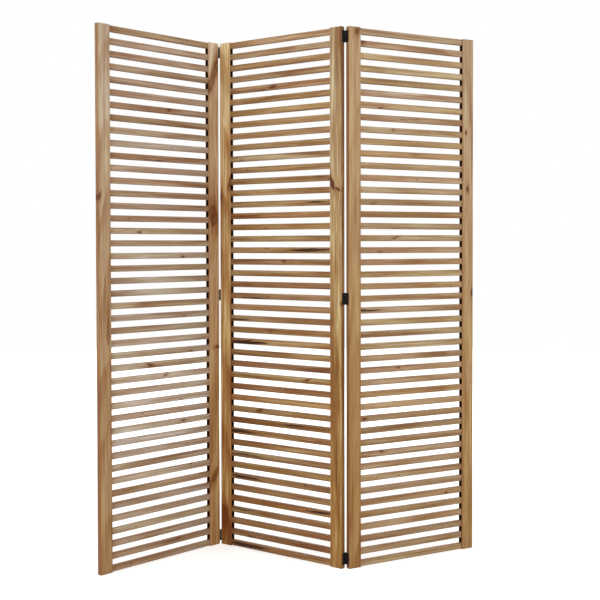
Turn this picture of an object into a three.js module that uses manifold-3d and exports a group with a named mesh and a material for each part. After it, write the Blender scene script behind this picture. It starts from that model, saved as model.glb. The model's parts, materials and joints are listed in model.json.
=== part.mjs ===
// Folding slatted screen: three grooved timber panels joined by butt hinges, standing in a zig-zag.
// Millimetres, +Z up. X runs across the front of the screen and Y away from whoever faces it.
import * as THREE from 'three';
import { mergeVertices } from 'three/addons/utils/BufferGeometryUtils.js';
import Module from 'manifold-3d';

const wasm = await Module();
wasm.setup();

// Panels
const panelHeight = 1750;
const panelWidth = 500;
const leftPanelBars = 44;
const middlePanelBars = 45;
const rightPanelBars = 45;

// Stiles, the grooved uprights at both sides of a panel
const stileWidth = 45;
const stileThickness = 18;
const stileEdgeRadius = 1;
const lipEdgeRadius = 1;
const stileEndChamfer = 1.2;
const grooveDepth = 12;

// Bars: the slats, with the top and bottom rails cut from the same strip
const barHeight = 20;
const barThickness = 12;
const barEdgeChamfer = 1;
const barSideClearance = 0.3;
const barEndClearance = 0.4;
const glueBite = 0.6;
const railSetback = 1.8;

// Hinges
const hingeLength = 38;
const hingeEndDistance = 12;
const leafReach = 15.5;
const leafThickness = 1.2;
const leafCornerRadius = 2.5;
const leafToWoodGap = 0.3;
const knuckleCount = 5;
const knuckleGap = 0.3;
const knuckleWall = 0.9;
const pinRadius = 1.2;
const pinClearance = 0.3;
const pinEndChamfer = 0.3;
const pinHeadRadius = 2;
const pinHeadHeight = 0.8;
const pinStandOff = 0.5;
const screwHoleRadius = 1.6;
const countersinkRadius = 2.8;
const screwHoleReach = 9;
const screwHoleSpacing = 20;

// Standing pose, in degrees: the middle panel's heading and how far each outer panel is folded from flat
const middleHeading = -35.3;
const leftFold = 80;
const rightFold = 63.5;

// Finishes
const pine = new THREE.MeshStandardMaterial({ color: '#a9845a', roughness: 0.62, metalness: 0 });
const honeyPine = new THREE.MeshStandardMaterial({ color: '#a07548', roughness: 0.6, metalness: 0 });
const palePine = new THREE.MeshStandardMaterial({ color: '#b29066', roughness: 0.62, metalness: 0 });
const blackSteel = new THREE.MeshStandardMaterial({ color: '#171614', roughness: 0.42, metalness: 0.7 });

// Sizes that follow from the ones above
const grooveWidth = barThickness + 2 * barSideClearance;
const boreRadius = pinRadius + pinClearance;
const knuckleRadius = boreRadius + knuckleWall;
const pinToWood = knuckleRadius + leafToWoodGap;
const pinToCentrePlane = stileThickness / 2 + pinStandOff;
const knuckleLength = hingeLength / knuckleCount;
const hingeHeights = {
  top: panelHeight - hingeEndDistance - hingeLength / 2,
  middle: panelHeight / 2,
  bottom: hingeEndDistance + hingeLength / 2,
};

const roundSides = 16;
const smallRoundSides = 12;
const arcSteps = 3;
const cutOverrun = 0.5;
const weldDistance = 1e-4;

// A closed geometry becomes a solid that can be joined and cut.
function toSolid(geometry) {
  const bare = geometry.index ? geometry.toNonIndexed() : geometry.clone();
  bare.deleteAttribute('normal');
  bare.deleteAttribute('uv');
  const merged = mergeVertices(bare, weldDistance);
  const corners = merged.index.array;
  const kept = [];
  for (let i = 0; i < corners.length; i += 3) {
    const [a, b, c] = [corners[i], corners[i + 1], corners[i + 2]];
    if (a !== b && b !== c && c !== a) kept.push(a, b, c);
  }
  return new wasm.Manifold(new wasm.Mesh({
    numProp: 3,
    vertProperties: new Float32Array(merged.attributes.position.array),
    triVerts: new Uint32Array(kept),
  }));
}

function toGeometry(solid) {
  const { numProp, vertProperties, triVerts } = solid.getMesh();
  const positions = new Float32Array(triVerts.length * 3);
  triVerts.forEach((vertex, i) => {
    positions[3 * i] = vertProperties[vertex * numProp];
    positions[3 * i + 1] = vertProperties[vertex * numProp + 1];
    positions[3 * i + 2] = vertProperties[vertex * numProp + 2];
  });
  const geometry = new THREE.BufferGeometry();
  geometry.setAttribute('position', new THREE.BufferAttribute(positions, 3));
  geometry.computeVertexNormals();
  return geometry;
}

// A round rod along Z, centred on the origin.
function rod(radiusAtTop, radiusAtBottom, length, sides) {
  return new THREE.CylinderGeometry(radiusAtTop, radiusAtBottom, length, sides).rotateX(Math.PI / 2);
}

// Turns an extruded section so that it runs along X, with its own X on Y and its Y on Z.
function layAlongX(geometry) {
  return geometry.rotateX(Math.PI / 2).rotateZ(Math.PI / 2);
}

// A straight bar along X with its long edges chamfered, centred on the origin.
function barGeometry(length) {
  const y = barThickness / 2;
  const z = barHeight / 2;
  const c = barEdgeChamfer;
  const section = new THREE.Shape([
    new THREE.Vector2(-y + c, -z),
    new THREE.Vector2(y - c, -z),
    new THREE.Vector2(y, -z + c),
    new THREE.Vector2(y, z - c),
    new THREE.Vector2(y - c, z),
    new THREE.Vector2(-y + c, z),
    new THREE.Vector2(-y, z - c),
    new THREE.Vector2(-y, -z + c),
  ]);
  const geometry = new THREE.ExtrudeGeometry(section, { depth: length, bevelEnabled: false });
  return layAlongX(geometry).translate(-length / 2, 0, 0);
}

// The stile's section: the outer edge at x = 0, the groove opening at x = stileWidth.
function stileSection() {
  const half = stileThickness / 2;
  const groove = grooveWidth / 2;
  const outer = stileEdgeRadius;
  const lip = lipEdgeRadius;
  const section = new THREE.Shape();
  section.moveTo(outer, -half);
  section.lineTo(stileWidth - lip, -half);
  section.absarc(stileWidth - lip, -half + lip, lip, -Math.PI / 2, 0);
  section.lineTo(stileWidth, -groove);
  section.lineTo(stileWidth - grooveDepth, -groove);
  section.lineTo(stileWidth - grooveDepth, groove);
  section.lineTo(stileWidth, groove);
  section.lineTo(stileWidth, half - lip);
  section.absarc(stileWidth - lip, half - lip, lip, 0, Math.PI / 2);
  section.lineTo(outer, half);
  section.absarc(outer, half - outer, outer, Math.PI / 2, Math.PI);
  section.lineTo(0, -half + outer);
  section.absarc(outer, -half + outer, outer, Math.PI, 1.5 * Math.PI);
  return section;
}

// A full-height stile with eased ends, its outer edge on x = 0 and its groove facing +X.
function stileSolid() {
  const upright = new THREE.ExtrudeGeometry(stileSection(), {
    depth: panelHeight + 2 * cutOverrun,
    bevelEnabled: false,
    curveSegments: arcSteps,
  });
  upright.translate(0, 0, -cutOverrun);
  const c = stileEndChamfer;
  const half = stileThickness / 2;
  const envelope = new THREE.ExtrudeGeometry(new THREE.Shape([
    new THREE.Vector2(0, -half),
    new THREE.Vector2(stileWidth, -half),
    new THREE.Vector2(stileWidth, half),
    new THREE.Vector2(0, half),
  ]), {
    depth: panelHeight - 2 * c,
    bevelThickness: c,
    bevelSize: c,
    bevelOffset: -c,
    bevelSegments: 1,
  });
  envelope.translate(0, 0, c);
  return toSolid(upright).intersect(toSolid(envelope));
}

// Heights of the bar centres, from the bottom rail to the top rail at an even pitch.
function barHeights(count) {
  const lowest = railSetback + barHeight / 2;
  const pitch = (panelHeight - 2 * lowest) / (count - 1);
  return Array.from({ length: count }, (_, i) => lowest + i * pitch);
}

// The left stile with its slats glued into the groove.
function gratingGeometry(slatHeights) {
  const start = stileWidth - grooveDepth - glueBite;
  const end = panelWidth - stileWidth + grooveDepth - barEndClearance;
  let grating = stileSolid();
  for (const height of slatHeights) {
    const slat = barGeometry(end - start).translate((start + end) / 2, 0, height);
    grating = grating.add(toSolid(slat));
  }
  return toGeometry(grating);
}

function railGeometry() {
  return barGeometry(panelWidth - 2 * (stileWidth - grooveDepth + barEndClearance));
}

// The knuckles round a pin, from the bottom. A leaf owns every second one, from firstKnuckle on,
// and leaves a wider gap where the other leaf's knuckle goes.
function leafKnuckles(firstKnuckle) {
  return Array.from({ length: knuckleCount }, (_, i) => {
    const owned = i % 2 === firstKnuckle;
    const ease = owned ? knuckleGap / 2 : -knuckleGap / 2;
    const lower = -hingeLength / 2 + i * knuckleLength;
    return {
      owned,
      lower: i === 0 ? lower : lower + ease,
      upper: i === knuckleCount - 1 ? lower + knuckleLength : lower + knuckleLength - ease,
    };
  });
}

// One hinge leaf round a pin on the Z axis. The wood is at +X and the plate reaches towards +Y.
function leafGeometry(firstKnuckle) {
  const knuckles = leafKnuckles(firstKnuckle);
  const half = hingeLength / 2;
  const corner = leafCornerRadius;
  const plate = new THREE.Shape();
  plate.moveTo(leafReach, -half + corner);
  plate.lineTo(leafReach, half - corner);
  plate.absarc(leafReach - corner, half - corner, corner, 0, Math.PI / 2);
  for (const { owned, lower, upper } of knuckles.toReversed()) {
    const innerEdge = owned ? 0 : knuckleRadius + knuckleGap;
    plate.lineTo(innerEdge, upper);
    plate.lineTo(innerEdge, lower);
  }
  plate.lineTo(leafReach - corner, -half);
  plate.absarc(leafReach - corner, -half + corner, corner, 1.5 * Math.PI, 2 * Math.PI);
  const sheet = new THREE.ExtrudeGeometry(plate, {
    depth: leafThickness,
    bevelEnabled: false,
    curveSegments: arcSteps,
  });

  let leaf = toSolid(layAlongX(sheet).translate(knuckleRadius - leafThickness, 0, 0));
  for (const { lower, upper } of knuckles.filter((knuckle) => knuckle.owned)) {
    const knuckle = rod(knuckleRadius, knuckleRadius, upper - lower, roundSides);
    leaf = leaf.add(toSolid(knuckle.translate(0, 0, (lower + upper) / 2)));
  }
  leaf = leaf.subtract(toSolid(rod(boreRadius, boreRadius, hingeLength + 2 * cutOverrun, smallRoundSides)));

  // Each screw hole is a cone through the sheet, widest on the face away from the wood.
  const flare = (countersinkRadius - screwHoleRadius) / leafThickness;
  const depth = leafThickness + 2 * cutOverrun;
  for (const side of [-1, 1]) {
    const hole = new THREE.CylinderGeometry(
      screwHoleRadius - flare * cutOverrun,
      countersinkRadius + flare * cutOverrun,
      depth,
      smallRoundSides,
    );
    hole.rotateZ(-Math.PI / 2);
    hole.translate(knuckleRadius - leafThickness / 2, screwHoleReach, side * screwHoleSpacing / 2);
    leaf = leaf.subtract(toSolid(hole));
  }
  return toGeometry(leaf);
}

// The hinge pin, with a low round head resting over the top knuckle.
function pinGeometry() {
  const bottom = -hingeLength / 2;
  const headBottom = hingeLength / 2 + knuckleGap;
  const headTop = headBottom + pinHeadHeight;
  const profile = [
    new THREE.Vector2(0, bottom),
    new THREE.Vector2(pinRadius - pinEndChamfer, bottom),
    new THREE.Vector2(pinRadius, bottom + pinEndChamfer),
    new THREE.Vector2(pinRadius, headBottom),
    new THREE.Vector2(pinHeadRadius, headBottom),
    new THREE.Vector2(pinHeadRadius, headTop - pinEndChamfer),
    new THREE.Vector2(pinHeadRadius - pinEndChamfer, headTop),
    new THREE.Vector2(0, headTop),
  ];
  return new THREE.LatheGeometry(profile, smallRoundSides).rotateX(Math.PI / 2);
}

function addMesh(group, name, geometry, material) {
  const mesh = new THREE.Mesh(geometry, material);
  mesh.name = name;
  group.add(mesh);
  return mesh;
}

// A panel: x runs across it from its left edge, y = 0 is its centre plane, its front faces -Y.
function makePanel(name, barCount, wood) {
  const panel = new THREE.Group();
  panel.name = name;
  const heights = barHeights(barCount);
  addMesh(panel, `${name}_left_stile_with_slats`, gratingGeometry(heights.slice(1, -1)), wood);
  const rightStile = addMesh(panel, `${name}_right_stile`, toGeometry(stileSolid()), wood);
  rightStile.position.x = panelWidth;
  rightStile.rotation.z = Math.PI;
  const bottomRail = addMesh(panel, `${name}_bottom_rail`, railGeometry(), wood);
  bottomRail.position.set(panelWidth / 2, 0, heights[0]);
  const topRail = addMesh(panel, `${name}_top_rail`, railGeometry(), wood);
  topRail.position.set(panelWidth / 2, 0, heights[barCount - 1]);
  return panel;
}

// Three hinges share one upright pin axis. valleySide is -1 where the panels close front to front
// and +1 where they close back to back. The middle panel's leaves carry the pins.
function addHinges(name, leftPanel, rightPanel, valleySide) {
  const tipped = valleySide > 0 ? Math.PI : 0;
  for (const [place, height] of Object.entries(hingeHeights)) {
    const leftIsMiddle = leftPanel.name === 'middle_panel';
    const leftLeaf = addMesh(
      leftPanel,
      `${name}_${place}_hinge_${leftIsMiddle ? 'inner' : 'outer'}_leaf`,
      leafGeometry(leftIsMiddle ? 0 : 1),
      blackSteel,
    );
    leftLeaf.position.set(panelWidth + pinToWood, valleySide * pinToCentrePlane, height);
    leftLeaf.rotation.set(tipped, Math.PI, 0);
    const rightLeaf = addMesh(
      rightPanel,
      `${name}_${place}_hinge_${leftIsMiddle ? 'outer' : 'inner'}_leaf`,
      leafGeometry(leftIsMiddle ? 1 : 0),
      blackSteel,
    );
    rightLeaf.position.set(-pinToWood, valleySide * pinToCentrePlane, height);
    rightLeaf.rotation.set(tipped, 0, 0);
    const carrier = leftIsMiddle ? leftPanel : rightPanel;
    const pin = addMesh(carrier, `${name}_${place}_hinge_pin`, pinGeometry(), blackSteel);
    pin.position.copy((leftIsMiddle ? leftLeaf : rightLeaf).position);
  }
}

const leftPanel = makePanel('left_panel', leftPanelBars, pine);
const middlePanel = makePanel('middle_panel', middlePanelBars, honeyPine);
const rightPanel = makePanel('right_panel', rightPanelBars, palePine);
addHinges('left', leftPanel, middlePanel, -1);
addHinges('right', middlePanel, rightPanel, 1);

// The middle panel is set first, and each outer panel swings about the pin line that it shares with it.
const middleTurn = THREE.MathUtils.degToRad(middleHeading);
middlePanel.rotation.z = middleTurn;

function hang(panel, sharedPin, ownPin, turn) {
  const target = sharedPin.clone().applyAxisAngle(new THREE.Vector3(0, 0, 1), middleTurn);
  const offset = ownPin.clone().applyAxisAngle(new THREE.Vector3(0, 0, 1), turn);
  panel.rotation.z = turn;
  panel.position.copy(target.sub(offset));
}

hang(
  leftPanel,
  new THREE.Vector3(-pinToWood, -pinToCentrePlane, 0),
  new THREE.Vector3(panelWidth + pinToWood, -pinToCentrePlane, 0),
  middleTurn + THREE.MathUtils.degToRad(leftFold),
);
hang(
  rightPanel,
  new THREE.Vector3(panelWidth + pinToWood, pinToCentrePlane, 0),
  new THREE.Vector3(-pinToWood, pinToCentrePlane, 0),
  middleTurn + THREE.MathUtils.degToRad(rightFold),
);

// The origin is on the floor, under the centre of the space that the standing screen fills.
const screen = new THREE.Group();
screen.add(leftPanel, middlePanel, rightPanel);
screen.updateMatrixWorld(true);
const extent = new THREE.Box3().setFromObject(screen, true);
const centre = extent.getCenter(new THREE.Vector3());
screen.position.set(-centre.x, -centre.y, -extent.min.z);
screen.updateMatrixWorld(true);

export default screen;
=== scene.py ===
import json
import math

import bmesh
import bpy
import numpy as np
from mathutils import Matrix, Vector


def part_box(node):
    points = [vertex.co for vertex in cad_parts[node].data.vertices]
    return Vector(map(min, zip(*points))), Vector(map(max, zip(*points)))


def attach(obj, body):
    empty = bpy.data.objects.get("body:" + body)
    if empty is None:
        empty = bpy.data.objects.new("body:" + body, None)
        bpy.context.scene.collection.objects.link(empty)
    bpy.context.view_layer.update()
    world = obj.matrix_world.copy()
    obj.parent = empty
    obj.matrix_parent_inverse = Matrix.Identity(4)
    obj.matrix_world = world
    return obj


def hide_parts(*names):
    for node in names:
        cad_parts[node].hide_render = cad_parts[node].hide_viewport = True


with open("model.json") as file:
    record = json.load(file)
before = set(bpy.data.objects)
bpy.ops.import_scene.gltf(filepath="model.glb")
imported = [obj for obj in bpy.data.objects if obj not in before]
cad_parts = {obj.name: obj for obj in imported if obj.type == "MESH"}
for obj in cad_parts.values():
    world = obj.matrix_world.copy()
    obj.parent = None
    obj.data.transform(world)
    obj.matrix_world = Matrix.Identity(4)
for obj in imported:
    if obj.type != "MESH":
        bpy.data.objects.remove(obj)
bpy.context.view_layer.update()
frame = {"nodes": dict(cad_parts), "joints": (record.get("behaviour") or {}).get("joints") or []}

mm = 0.001
panelNames = ["left_panel", "middle_panel", "right_panel"]
print("frame loaded:", len(frame["nodes"]), "CAD nodes")


# helpers for node trees

def wire(values, sockets):  # a value that is a socket is linked, any other becomes the socket's own
    for key, value in values.items():
        if isinstance(value, bpy.types.NodeSocket):
            value.id_data.links.new(value, sockets[key])
        else:
            sockets[key].default_value = value


def addNode(tree, kind, inputs=None, **settings):
    node = tree.nodes.new(kind)
    for name, value in settings.items():
        setattr(node, name, value)
    wire(inputs or {}, node.inputs)
    return node.outputs


def feed(kind, inputs, **settings):  # a node in the tree that its linked inputs come from
    tree = next(value.id_data for value in inputs.values() if isinstance(value, bpy.types.NodeSocket))
    return addNode(tree, kind, inputs, **settings)


def calc(operation, *values):
    return feed("ShaderNodeMath", dict(enumerate(values)), operation=operation)[0]


def add(first, second):
    return calc("ADD", first, second)


def subtract(first, second):
    return calc("SUBTRACT", first, second)


def multiply(first, second):
    return calc("MULTIPLY", first, second)


def divide(first, second):
    return calc("DIVIDE", first, second)


def centred(value):  # from 0 to 1, to -0.5 to 0.5
    return subtract(value, 0.5)


def addUp(parts):  # sum of value x weight
    total = 0.0
    for value, weight in parts:
        total = calc("MULTIPLY_ADD", value, weight, total)
    return total


def sumOfSquares(first, second):
    return add(multiply(first, first), multiply(second, second))


def vectorCalc(operation, first, second):
    return feed("ShaderNodeVectorMath", {0: first, 1: second}, operation=operation)[0]


def split(vector):
    return feed("ShaderNodeSeparateXYZ", {0: vector})


def join(**parts):
    return feed("ShaderNodeCombineXYZ", parts)[0]


def ramp(value, low, high, toLow=0.0, toHigh=1.0):  # smooth step from low to high
    inputs = dict(enumerate((value, low, high, toLow, toHigh)))
    return feed("ShaderNodeMapRange", inputs, interpolation_type="SMOOTHSTEP")[0]


def newGroup(name, kind, inputs, outputs):  # sockets are given by type
    tree = bpy.data.node_groups.new(name, kind)
    for side, sockets in (("INPUT", inputs), ("OUTPUT", outputs)):
        for socketType, labels in sockets.items():
            for label in labels:
                tree.interface.new_socket(name=label, in_out=side, socket_type="NodeSocket" + socketType)
    return tree, tree.nodes.new("NodeGroupInput").outputs, tree.nodes.new("NodeGroupOutput").inputs


def placeGroup(group, inputs):
    return feed("ShaderNodeGroup", inputs, node_tree=group)


def attribute(tree, name, output="Fac"):
    return addNode(tree, "ShaderNodeAttribute", attribute_name=name)[output]


def mixColor(amount, first, second):
    return feed("ShaderNodeMix", {0: amount, 6: first, 7: second}, data_type="RGBA")[2]


def tint(code):  # "#rrggbb" as written on a paint card, to linear RGBA
    parts = [int(code[i:i + 2], 16) / 255 for i in (1, 3, 5)]
    return (*[c / 12.92 if c <= 0.04045 else ((c + 0.055) / 1.055) ** 2.4 for c in parts], 1.0)


# effects that several materials share; each noise is given by its waves per metre along, across and
# through the board, its detail and its roughness

def boardNoises(place, seed, patterns):
    noises = {}
    for name, (stretch, detail, roughness) in patterns.items():
        inputs = {
            "Vector": vectorCalc("MULTIPLY", place, stretch),
            "W": seed,
            "Scale": 1.0,
            "Detail": detail,
            "Roughness": roughness,
        }
        noises[name] = feed("ShaderNodeTexNoise", inputs, noise_dimensions="4D")[0]
    return noises


figureLook = {
    "noises": {
        "wander": ((1.8, 7, 7), 2, 0.5),
        "ragged": ((9, 160, 160), 3, 0.6),
        "streak": ((4.5, 120, 80), 4, 0.6),
        "threads": ((4.5, 360, 240), 3, 0.55),
        "blotch": ((4, 22, 22), 2, 0.5),
        "fibre": ((55, 1700, 1700), 2, 0.5),
        "cast": ((5, 90, 60), 2, 0.5),
        "flecks": ((70, 620, 620), 1, 0.5),
    },
    "pithAside": 0.11,  # the range in which the tree's pith lies to one side of the board
    "pithDepth": 0.506,  # how deep it lies behind the board, and the range beyond that
    "pithDepthPlay": 0.045,
    "pithLean": 0.03,
    "ragged": 0.5,
    "lateWood": (0.3, 0.85),  # share of a ring's width where the dark late wood comes
    "ringEnd": (1.0, 0.88),
    "threads": (0.52, 0.68),
    "flecks": (0.62, 0.74),
}


def buildPineFigure():
    # growth rings round a pith line behind the board, streaks, blotches, fibre and resin flecks
    tree, given, result = newGroup(
        "pineFigure",
        "ShaderNodeTree",
        {"Vector": ["Place"], "Float": ["Seed", "Ring Pitch", "Wander"]},
        {"Float": ["Rings", "Streak", "Threads", "Blotch", "Fibre", "Flecks", "Cast"]},
    )
    look = figureLook
    seed = given["Seed"]
    noise = boardNoises(given["Place"], seed, look["noises"])
    dice = split(feed("ShaderNodeTexWhiteNoise", {"W": seed}, noise_dimensions="1D")["Color"])
    position = split(given["Place"])

    drift = multiply(centred(noise["wander"]), given["Wander"])
    lean = multiply(position[0], centred(dice[2]))
    across = addUp([
        (position[1], 1.0),
        (centred(dice[0]), look["pithAside"]),
        (drift, 1.0),
    ])
    depth = addUp([
        (position[2], 1.0),
        (lean, look["pithLean"]),
        (dice[1], look["pithDepthPlay"]),
        (look["pithDepth"], 1.0),
        (drift, 1.0),
    ])
    fromPith = calc("SQRT", sumOfSquares(across, depth))
    turns = divide(fromPith, given["Ring Pitch"])
    phase = calc("FRACT", addUp([(turns, 1.0), (noise["ragged"], look["ragged"])]))
    wire({
        "Rings": multiply(ramp(phase, *look["lateWood"]), ramp(phase, *look["ringEnd"])),
        "Streak": noise["streak"],
        "Threads": ramp(noise["threads"], *look["threads"]),
        "Blotch": noise["blotch"],
        "Fibre": noise["fibre"],
        "Flecks": ramp(noise["flecks"], *look["flecks"]),
        "Cast": noise["cast"],
    }, result)
    return tree


knotLook = {  # reach: 0 in a knot's middle, 1 at its edge
    "noises": {
        "ragged": ((90, 260, 90), 3, 0.6),
        "streaky": ((20, 380, 160), 3, 0.6),
    },
    "smallest": 0.3 * mm,  # a smaller knot isn't drawn
    "sizes": (5 * mm, 14 * mm),  # between these, a knot goes from dark to ringed
    "dark": (0.75, 0.12),
    "ringed": (0.0, 0.16),
    "ringTurns": 17.0,
    "streaky": 0.9,
    "inside": (1.1, 0.8),
    "pith": (0.45, 0.1),
    "pithDepth": 0.4,
    "barkStart": (0.7, 0.95),
    "barkEnd": (1.2, 1.0),
    "barkDepth": 0.4,
    "haloScale": (2.8, 2.1),
    "haloStreaky": 1.9,
    "halo": (1.1, 0.1),
    "innerHalo": (1.1, 0.7),
    "innerHaloDepth": 0.9,
    "bendScale": (2.4, 2.6),
    "bend": 0.82,
}


def buildKnotMark():
    # a knot at Spot (along, across, size); the figure bends round it, and Shape is (stretch, lean, depth)
    tree, given, result = newGroup(
        "knotMark",
        "ShaderNodeTree",
        {"Vector": ["Place", "Spot", "Shape"], "Float": ["Seed"]},
        {"Float": ["Core", "Halo"], "Vector": ["Bent Place"]},
    )
    look = knotLook
    noise = boardNoises(given["Place"], given["Seed"], look["noises"])
    position, spot, shape = [split(given[name]) for name in ("Place", "Spot", "Shape")]
    present = calc("GREATER_THAN", spot[2], look["smallest"])
    size = calc("MAXIMUM", spot[2], look["smallest"])
    along = subtract(position[0], spot[0])
    across = subtract(position[1], spot[1])
    across = subtract(across, multiply(along, shape[1]))
    alongShare = divide(along, multiply(size, shape[0]))
    acrossShare = divide(across, size)

    def squaredReach(alongScale, acrossScale):
        first = divide(alongShare, alongScale)
        second = divide(acrossShare, acrossScale)
        return sumOfSquares(first, second)

    reach = calc("SQRT", sumOfSquares(alongShare, acrossShare))
    reach = add(reach, centred(noise["ragged"]))
    streaky = centred(noise["streaky"])
    rings = calc("SINE", multiply(reach, look["ringTurns"]))
    inside = addUp([
        (ramp(size, *look["sizes"], *look["dark"]), 1.0),
        (rings, ramp(size, *look["sizes"], *look["ringed"])),
        (streaky, look["streaky"]),
    ])
    bark = multiply(ramp(reach, *look["barkStart"]), ramp(reach, *look["barkEnd"]))
    core = addUp([
        (inside, ramp(reach, *look["inside"])),
        (ramp(reach, *look["pith"]), look["pithDepth"]),
        (bark, look["barkDepth"]),
    ])
    haloReach = calc("SQRT", squaredReach(*look["haloScale"]))
    haloReach = addUp([(haloReach, 1.0), (streaky, look["haloStreaky"])])
    innerHalo = multiply(ramp(reach, *look["innerHalo"]), look["innerHaloDepth"])
    halo = calc("MAXIMUM", ramp(haloReach, *look["halo"]), innerHalo)
    depth = multiply(present, shape[2])

    nearness = calc("EXPONENT", multiply(squaredReach(*look["bendScale"]), -1.0))
    pull = multiply(multiply(nearness, present), look["bend"])
    shift = join(Y=multiply(across, pull))
    wire({
        "Core": multiply(core, depth),
        "Halo": multiply(halo, depth),
        "Bent Place": vectorCalc("SUBTRACT", given["Place"], shift),
    }, result)
    return tree


resinLook = {
    "noises": {
        "sway": ((14, 3, 3), 1, 0.5),
        "lines": ((16, 330, 120), 3, 0.6),
    },
    "lines": 1.5,
    "fade": -0.5,
    "strength": 0.6,  # how much further a stronger mark spreads
    "darkness": 1.2,
    "edge": (0.4, 0.66),
}


def buildResinStreak():
    # dark resin-filled lines round Spot (along, across, strength), Length and Height from its middle
    tree, given, result = newGroup(
        "resinStreak",
        "ShaderNodeTree",
        {"Vector": ["Place", "Spot"], "Float": ["Length", "Height", "Seed"]},
        {"Float": ["Mask"]},
    )
    look = resinLook
    noise = boardNoises(given["Place"], given["Seed"], look["noises"])
    position, spot = [split(given[name]) for name in ("Place", "Spot")]
    across = subtract(position[1], spot[1])
    across = add(across, multiply(centred(noise["sway"]), given["Height"]))
    alongShare = divide(subtract(position[0], spot[0]), given["Length"])
    acrossShare = divide(across, given["Height"])
    dark = addUp([
        (noise["lines"], look["lines"]),
        (sumOfSquares(alongShare, acrossShare), look["fade"]),
        (subtract(spot[2], 1.0), look["strength"]),
    ])
    strength = calc("MINIMUM", multiply(spot[2], look["darkness"]), 1.0)
    wire({"Mask": multiply(ramp(dark, *look["edge"]), strength)}, result)
    return tree


rubLook = {
    "detail": 4.0,
    "roughness": 0.6,
    "easedLift": 0.16,
    "edge": (0.6, 0.74),
}


def buildRubbed():
    # where a coating is rubbed thin: eased faces first, then scattered scuffs
    tree, given, result = newGroup(
        "rubbed",
        "ShaderNodeTree",
        {"Vector": ["Place"], "Float": ["Eased", "Scale", "Amount"]},
        {"Float": ["Mask", "Grain"]},
    )
    look = rubLook
    grain = feed("ShaderNodeTexNoise", {
        "Vector": given["Place"],
        "Scale": given["Scale"],
        "Detail": look["detail"],
        "Roughness": look["roughness"],
    })[0]
    lifted = addUp([(grain, 1.0), (given["Eased"], look["easedLift"])])
    mask = multiply(ramp(lifted, *look["edge"]), given["Amount"])
    wire({"Mask": mask, "Grain": grain}, result)
    return tree


pineFigure = buildPineFigure()
knotMark = buildKnotMark()
resinStreak = buildResinStreak()
rubbed = buildRubbed()


# materials

pineStainAndShade = {  # each panel's usual colour, partly its boards' own stain and partly painted light and shade by how the panel faces the light; and how deep the painted shade is at the slats' left ends, by the stile
    "left_panel": ("#a88f76", 0.55),
    "middle_panel": ("#957048", 0.4),
    "right_panel": ("#a38562", 0.15),
}
pineFinish = {
    "stainCast": (0.32, 0.54, 0.79),  # how fast red, green and blue sink where the stain is deeper
    "greyCast": (-0.65, -0.45, 0.61),  # from golden wood to grey
    "roseCast": (0.36, -0.36, 0.1),  # towards heartwood's red
    "castSpread": 0.3,
    "streakDepth": 0.9,
    "streakEdge": (0.34, 0.62),
    "blotchDepth": 0.5,
    "ringDepth": 1.0,
    "ringPatches": (0.3, 0.7, 0.3, 1.0),  # where blotches are pale, the rings are faint
    "threadDepth": 0.95,
    "usualFigure": 1.12,  # the figure's mean depth, which the shades above already hold
    "fleckDepth": 0.35,
    "fibreDepth": 0.3,
    "haloDepth": 1.3,
    "knot": "#55280d",
    "resin": "#341d0e",
    "groove": "#26160c",  # painted shade: near black on the groove's inner faces, where the recess lies in shade
    "ringPitch": 3.2 * mm,
    "leastPitch": 0.7,  # share of it where a board has no figure
    "wander": 9 * mm,
    # painted shade along each board's arrises and ends, where the eased edges turn from the light
    "rimShadeReach": (1.5 * mm, 0.1 * mm),
    "rimShadeDepth": 1.1,
    "endShadeReach": (26 * mm, 0.0),  # painted shade at a slat's left end, fading out this far from where it leaves the groove
    "streakLength": 90 * mm,
    "streakHeight": 6 * mm,
    "roughness": (0.3, 0.7, 0.42, 0.6),  # over the fibre's noise
    "specular": 0.2,
    "fleckRelief": -0.6,
    "ringRelief": 0.5,
    "bumpStrength": 0.3,
    "bumpDistance": 0.2 * mm,
}


def newMaterial(name):
    material = bpy.data.materials.new(name)
    material.use_nodes = True
    tree = material.node_tree
    return material, tree, tree.nodes["Principled BSDF"].inputs


def bumpNormal(finish, height):
    inputs = {"Strength": finish["bumpStrength"], "Distance": finish["bumpDistance"], "Height": height}
    return feed("ShaderNodeBump", inputs)["Normal"]


# the second argument is the panel's usual colour, partly its own stain and partly painted light and shade;
# the third is how deep the painted shade at the slats' left ends is
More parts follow.
